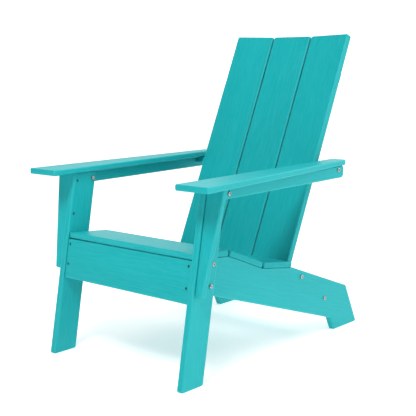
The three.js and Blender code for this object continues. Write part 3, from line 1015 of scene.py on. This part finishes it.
def stretched(tree, place, amounts):
    """A space stretched by a different amount along each axis."""
    inputs = {0: place, 1: amounts}
    return add_node(tree, "ShaderNodeVectorMath", inputs, operation="MULTIPLY").outputs[0]


def noise_at(tree, place, amounts, detail=2.0):
    """Noise in a stretched space. Each amount is about how many lumps there are in a metre."""
    inputs = {"Vector": stretched(tree, place, amounts), "Scale": 1.0, "Detail": detail}
    return add_node(tree, "ShaderNodeTexNoise", inputs).outputs[0]


def distance_from_axis(tree, place, across):
    """How far a place is from an axis: across has a 0 along the axis and a 1 in the other two."""
    inputs = {0: stretched(tree, place, across)}
    return add_node(tree, "ShaderNodeVectorMath", inputs, operation="LENGTH").outputs["Value"]


# %% [markdown]
# ## Plastic lumber
#
# The boards are high-density polyethylene, coloured right through with a blue-green pigment. Drawing
# through the die leaves fine lengthwise lines, close together, which catch the light as a soft,
# brushed sheen. Three noises make it up: hair-fine lines, wider bands, and a slow change of tone
# along the board. They are stretched along the grain, so each has a small amount along the board
# and large ones across it. A few shallow scuffs lie at a slant. The sawn ends are duller, with the
# arcs of a circular saw, and the routed edges are smoother and a little paler: part routed finish,
# part painted highlight.

# %% The board material
board_colour = (0.001, 0.395, 0.42, 1)
pale_colour = (0.035, 0.46, 0.475, 1)
deep_colour = (0.0005, 0.33, 0.35, 1)
line_relief = 0.00015
saw_mark_width = 0.0016
fine_line_amounts = (18, 520, 520)
band_amounts = (0.9, 150, 150)
slow_amounts = (1.5, 9, 9)
scuff_amounts = (24, 700, 60)
scuff_slant = math.radians(14)

lumber, tree = new_material("plastic_lumber")
grain = add_node(tree, "ShaderNodeAttribute", {}, attribute_name="grain").outputs["Vector"]
sawn = add_node(tree, "ShaderNodeAttribute", {}, attribute_name="sawn_end").outputs["Fac"]
eased = add_node(tree, "ShaderNodeAttribute", {}, attribute_name="eased_edge").outputs["Fac"]

fine_lines = noise_at(tree, grain, fine_line_amounts, detail=4)
bands = noise_at(tree, grain, band_amounts)
slow_tone = noise_at(tree, grain, slow_amounts)
inputs = {"Vector": grain, "Angle": scuff_slant}
slanted = add_node(tree, "ShaderNodeVectorRotate", inputs, rotation_type="Z_AXIS").outputs[0]
scuffs = in_range(tree, noise_at(tree, slanted, scuff_amounts, detail=1), 0.70, 0.76)

# Colour: the lines lighten it; scuffs, the eased edges' routed finish with a painted highlight, and the
# sawn ends change it last.
tone = arithmetic(tree, "MULTIPLY_ADD", fine_lines, 0.8, arithmetic(tree, "MULTIPLY", bands, 0.2))
lined = in_range(tree, tone, 0.42, 0.68)
slow_share = in_range(tree, slow_tone, 0.3, 0.7, 0.5, 1)
dark_to_middle = blend_colours(tree, slow_share, deep_colour, board_colour)
lightened = arithmetic(tree, "MULTIPLY", lined, 0.5)
with_lines = blend_colours(tree, lightened, dark_to_middle, pale_colour)
# Painted highlight: the eased edges are mixed towards the pale colour, on top of their routed finish.
routed_and_highlight = arithmetic(tree, "MULTIPLY", eased, 0.3)
wear_and_edge_highlight = arithmetic(tree, "MAXIMUM", routed_and_highlight, arithmetic(tree, "MULTIPLY", scuffs, 0.5))
with_wear_and_highlight = blend_colours(tree, wear_and_edge_highlight, with_lines, pale_colour)
with_ends = blend_colours(tree, arithmetic(tree, "MULTIPLY", sawn, 0.5), with_wear_and_highlight, deep_colour)

# The saw's arcs are rings about a far hub, and only show on the sawn ends.
from_hub = distance_from_axis(tree, grain, (0, 1, 1))
turns = arithmetic(tree, "MULTIPLY", from_hub, 2 * math.pi / saw_mark_width)
saw_arcs = arithmetic(tree, "SINE", turns)
saw_relief = arithmetic(tree, "MULTIPLY", saw_arcs, arithmetic(tree, "MULTIPLY", sawn, 0.35))

# Gloss and relief follow the same lines as the colour.
roughness = in_range(tree, tone, 0.35, 0.65, 0.40, 0.56)
roughness = arithmetic(tree, "MULTIPLY_ADD", sawn, 0.14, roughness)
roughness = arithmetic(tree, "MULTIPLY_ADD", wear_and_edge_highlight, -0.12, roughness)
relief = arithmetic(tree, "MULTIPLY_ADD", scuffs, -0.3, arithmetic(tree, "ADD", tone, saw_relief))
inputs = {"Strength": 0.8, "Distance": line_relief, "Height": relief}
bump = add_node(tree, "ShaderNodeBump", inputs).outputs[0]

surface = tree.nodes["Principled BSDF"]
tree.links.new(with_ends, surface.inputs["Base Color"])
tree.links.new(roughness, surface.inputs["Roughness"])
tree.links.new(bump, surface.inputs["Normal"])
surface.inputs["Specular IOR Level"].default_value = 0.2
print("the board material has", len(tree.nodes), "nodes")

# %% [markdown]
# ## Steel
#
# The bolts and cap nuts are stainless steel, turned on a lathe: faint rings run round the axis, and
# they are polished in mottled patches. The dowels are zinc plated, so they are greyer, with a mottled
# bloom. The screws have a dark coating matched to the boards, rubbed brighter in mottled patches.

# %% The metal materials
ring_width = 0.0004
mottle_amounts = (700, 700, 700)


def metal(name, colour, worn_colour, rough_low, rough_high, metallic, relief_depth):
    """A turned metal: rings round the axis, with a mottled roughness."""
    material, tree = new_material(name)
    place = add_node(tree, "ShaderNodeAttribute", {}, attribute_name="grain").outputs["Vector"]
    mottle = noise_at(tree, place, mottle_amounts, detail=3)
    radius = distance_from_axis(tree, place, (1, 1, 0))
    rings = arithmetic(tree, "SINE", arithmetic(tree, "MULTIPLY", radius, 2 * math.pi / ring_width))
    colours = blend_colours(tree, in_range(tree, mottle, 0.4, 0.62), colour, worn_colour)
    roughness = in_range(tree, mottle, 0.3, 0.7, rough_low, rough_high)
    heights = arithmetic(tree, "MULTIPLY_ADD", rings, 0.3, mottle)
    inputs = {"Strength": 0.5, "Distance": relief_depth, "Height": heights}
    bump = add_node(tree, "ShaderNodeBump", inputs).outputs[0]
    surface = tree.nodes["Principled BSDF"]
    surface.inputs["Metallic"].default_value = metallic
    tree.links.new(colours, surface.inputs["Base Color"])
    tree.links.new(roughness, surface.inputs["Roughness"])
    tree.links.new(bump, surface.inputs["Normal"])
    return material


steel_grey = (0.40, 0.38, 0.37, 1)
polished_grey = (0.50, 0.49, 0.48, 1)
zinc_grey = (0.42, 0.44, 0.45, 1)
zinc_bloom = (0.56, 0.57, 0.57, 1)
dark_coat = (0.012, 0.10, 0.11, 1)
rubbed_coat = (0.05, 0.17, 0.18, 1)
metals = {
    "bolt_steel": metal("bolt_steel", steel_grey, polished_grey, 0.22, 0.36, 1.0, 0.00002),
    "dowel_steel": metal("dowel_steel", zinc_grey, zinc_bloom, 0.38, 0.6, 1.0, 0.00003),
    "screw_coating": metal("screw_coating", dark_coat, rubbed_coat, 0.4, 0.6, 0.6, 0.00003),
}
print("metals:", ", ".join(metals))

# %% [markdown]
# ## Put everything in its place
#
# The boards are already where they belong. The fasteners are copied from their models, each with
# its own mesh, and the placing goes into the mesh. Then each piece is tied to the frame: it rides
# on the one body, it stands in for its node, and it gets its material.

# %% Copy the fasteners and tie every piece to the frame
finishes = {
    "leg_bolt": "bolt_steel",
    "end_bolt": "bolt_steel",
    "cap_nut": "bolt_steel",
    "cross_dowel": "dowel_steel",
    "long_screw": "screw_coating",
    "short_screw": "screw_coating",
}


def tie(piece, node, material):
    """Gives a piece its material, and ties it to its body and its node."""
    piece.data.materials.clear()
    piece.data.materials.append(material)
    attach(piece, "root")
    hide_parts(node)


for node, board in boards.items():
    tie(board["piece"], node, lumber)

for node, fastener in fasteners.items():
    kind = fastener["kind"]
    piece = masters[kind].copy()
    piece.data = masters[kind].data.copy()
    piece.name = f"{node}_fitted"
    piece.data.name = piece.name
    bpy.context.scene.collection.objects.link(piece)
    turn = 0 if kind == "cross_dowel" else chance.uniform(0, 2 * math.pi)
    piece.data.transform(fastener["place"] @ Matrix.Rotation(turn, 4, "Z"))
    tie(piece, node, metals[finishes[kind]])
for piece in masters.values():
    bpy.data.objects.remove(piece)
print(len(boards) + len(fasteners), "pieces stand for", len(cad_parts), "nodes")

# %% [markdown]
# ## The studio
#
# A pale floor runs out of sight. It glows a little of its own, as a white sweep does when it is lit
# from below, so the shadows on it stay soft and faint.

# %% The floor
floor_size = 40
floor_colour = (0.92, 0.92, 0.92, 1)
floor_glow = 0.45
white = (1, 1, 1, 1)

let_go()
bpy.ops.mesh.primitive_plane_add(size=floor_size, location=(0, 0, 0))
floor = bpy.context.object
floor.name = "floor"
floor_material, tree = new_material("pale_floor")
surface = tree.nodes["Principled BSDF"]
surface.inputs["Base Color"].default_value = floor_colour
surface.inputs["Roughness"].default_value = 0.9
surface.inputs["Emission Color"].default_value = white
surface.inputs["Emission Strength"].default_value = floor_glow
floor_material.cycles.emission_sampling = "NONE"
floor.data.materials.append(floor_material)
print("the floor is", floor_size, "m wide")

# %% [markdown]
# The room is bright towards the rear and dim towards the front, as it is when only its rear wall is
# lit. Level boards mirror that wall at a low angle, which gives them their pale sheen, while the
# faces that look forward mirror the dim side and keep a deep colour. Where nothing stands in front
# of the room, it is shown as plain white. A strong soft light stands above the front, and a weak
# one behind, on the chair's left, lifts the side boards.

# %% The room and the lights
dim_side = 0.28
bright_side = 1.5
wall_way = (0.1, 0.99, 0)
chair_middle = Vector((0, 0, 0.45))

room = bpy.data.worlds.new("room")
room.use_nodes = True
tree = room.node_tree
looking = add_node(tree, "ShaderNodeTexCoord", {}).outputs["Generated"]
inputs = {0: looking, 1: wall_way}
towards_wall = add_node(tree, "ShaderNodeVectorMath", inputs, operation="DOT_PRODUCT").outputs["Value"]
lighting = in_range(tree, towards_wall, -0.15, 0.6, dim_side, bright_side)
seen_directly = add_node(tree, "ShaderNodeLightPath", {}).outputs["Is Camera Ray"]
strength = arithmetic(tree, "MAXIMUM", lighting, seen_directly)
tree.links.new(strength, tree.nodes["Background"].inputs["Strength"])
tree.nodes["Background"].inputs["Color"].default_value = white
bpy.context.scene.world = room
bpy.context.scene.view_settings.view_transform = "Standard"


def soft_light(name, place, size, power):
    """A square area light that faces the middle of the chair."""
    let_go()
    bpy.ops.object.light_add(type="AREA", location=place)
    light = bpy.context.object
    light.name = name
    light.data.size = size
    light.data.energy = power
    towards = chair_middle - Vector(place)
    light.rotation_euler = towards.to_track_quat("-Z", "Y").to_euler()


soft_light("above_front", (0.9, -2.3, 3.5), size=1.2, power=100)
soft_light("behind_left", (2.6, 1.8, 2.6), size=1.3, power=17)
print("the room has two soft lights")
